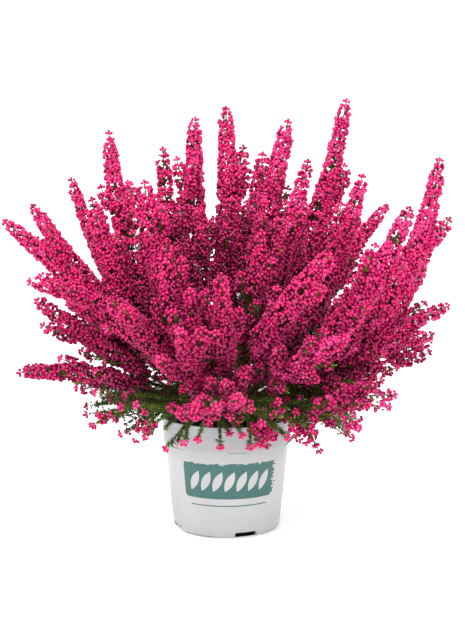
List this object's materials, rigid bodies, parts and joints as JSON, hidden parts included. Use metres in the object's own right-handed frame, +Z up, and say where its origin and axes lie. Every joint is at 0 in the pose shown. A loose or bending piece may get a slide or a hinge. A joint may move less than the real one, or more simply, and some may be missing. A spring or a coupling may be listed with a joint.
{
  "type": "potted cape heath",
  "caption": "Flowering cape heath with dense pink flower spikes fanning from woody stems in peat, standing in a round tapered plastic nursery pot.",
  "frame": {"origin": "on the ground, under the pot's axis, at the middle of the part's footprint", "axes": "+Z up along the pot's axis, +X to the right when the pot's printed panel faces the viewer, +Y to the back"},
  "size_m": [0.434, 0.392, 0.425],
  "materials": {
    "pot_plastic": "satin moulded polypropylene, light grey-white",
    "peat": "damp fibrous peat",
    "bark": "thin dull brown bark",
    "flowers": "waxy deep pink urn-shaped bells",
    "green_shoot": "dull green needle leaves"
  },
  "bodies": {
    "root": {"pot": "pot_plastic", "peat_root_ball": "peat", "woody_stem_1": "bark", "woody_stem_2": "bark", "woody_stem_3": "bark", "woody_stem_4": "bark", "flowering_shoot_01": "flowers", "flowering_shoot_02": "flowers", "flowering_shoot_03": "flowers", "flowering_shoot_04": "flowers", "flowering_shoot_05": "flowers", "flowering_shoot_06": "flowers", "flowering_shoot_07": "flowers", "flowering_shoot_08": "flowers", "flowering_shoot_09": "flowers", "flowering_shoot_10": "flowers", "flowering_shoot_11": "flowers", "flowering_shoot_12": "flowers", "flowering_shoot_13": "flowers", "flowering_shoot_14": "flowers", "flowering_shoot_15": "flowers", "flowering_shoot_16": "flowers", "flowering_shoot_17": "flowers", "flowering_shoot_18": "flowers", "flowering_shoot_19": "flowers", "flowering_shoot_20": "flowers", "flowering_shoot_21": "flowers", "flowering_shoot_22": "flowers", "flowering_shoot_23": "flowers", "flowering_shoot_24": "flowers", "flowering_shoot_25": "flowers", "flowering_shoot_26": "flowers", "flowering_shoot_27": "flowers", "flowering_shoot_28": "flowers", "flowering_shoot_29": "flowers", "flowering_shoot_30": "flowers", "flowering_shoot_31": "flowers", "flowering_shoot_32": "flowers", "flowering_shoot_33": "flowers", "flowering_shoot_34": "flowers", "flowering_shoot_35": "flowers", "flowering_shoot_36": "flowers", "flowering_shoot_37": "flowers", "flowering_shoot_38": "flowers", "flowering_shoot_39": "flowers", "flowering_shoot_40": "flowers", "flowering_shoot_41": "flowers", "flowering_shoot_42": "flowers", "flowering_shoot_43": "flowers", "flowering_shoot_44": "flowers", "flowering_shoot_45": "flowers", "flowering_shoot_46": "flowers", "flowering_shoot_47": "flowers", "flowering_shoot_48": "flowers", "flowering_shoot_49": "flowers", "flowering_shoot_50": "flowers", "flowering_shoot_51": "flowers", "rim_sprig_1": "green_shoot", "rim_sprig_2": "green_shoot", "rim_sprig_3": "green_shoot"}
  },
  "joints": []
}
